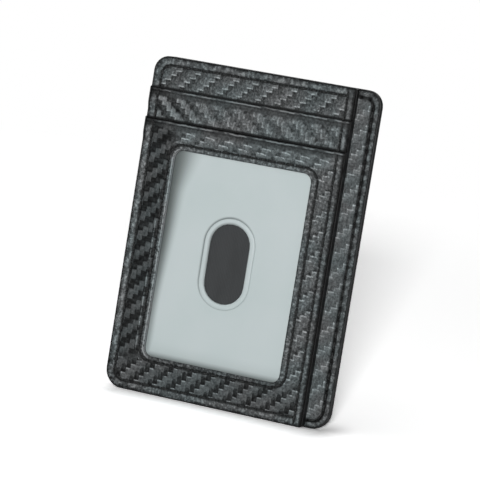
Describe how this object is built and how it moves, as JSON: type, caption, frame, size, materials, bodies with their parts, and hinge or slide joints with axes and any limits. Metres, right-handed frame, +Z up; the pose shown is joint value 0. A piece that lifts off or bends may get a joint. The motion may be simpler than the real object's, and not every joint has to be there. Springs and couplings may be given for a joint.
{
  "type": "business card holder",
  "caption": "Slim front-pocket card holder with an ID window, a thumb hole in its film, stepped card pockets and a money slot that opens sideways.",
  "frame": {"origin": "under the middle of the holder's box, on the surface that it stands on", "axes": "+X to the right as the window faces the viewer, -Y is what the window faces, +Z up towards the pocket mouths"},
  "size_m": [0.078, 0.0074, 0.11],
  "materials": {
    "embossed_leather": "satin, embossed with a 2/2 twill",
    "lining_cloth": "matt, fine vertical rib",
    "stiffener_board": "matt",
    "window_film": "frosted",
    "edge_coating": "satin black"
  },
  "bodies": {
    "root": {"window_panel": "embossed_leather", "window_film": "window_film", "middle_pocket_strip": "embossed_leather", "middle_pocket_lining": "lining_cloth", "front_top_strip": "embossed_leather", "front_base_lining": "lining_cloth", "front_board": "stiffener_board", "slot_front_lining": "lining_cloth", "front_edge_coat": "edge_coating", "slot_facing": "embossed_leather", "slot_back_lining": "lining_cloth", "back_board": "stiffener_board", "rear_base_lining": "lining_cloth", "rear_top_strip": "embossed_leather", "rear_pocket_1_strip": "embossed_leather", "rear_pocket_1_lining": "lining_cloth", "rear_pocket_2_strip": "embossed_leather", "rear_pocket_2_lining": "lining_cloth", "rear_pocket_3_panel": "embossed_leather", "back_edge_coat": "edge_coating"}
  },
  "joints": []
}
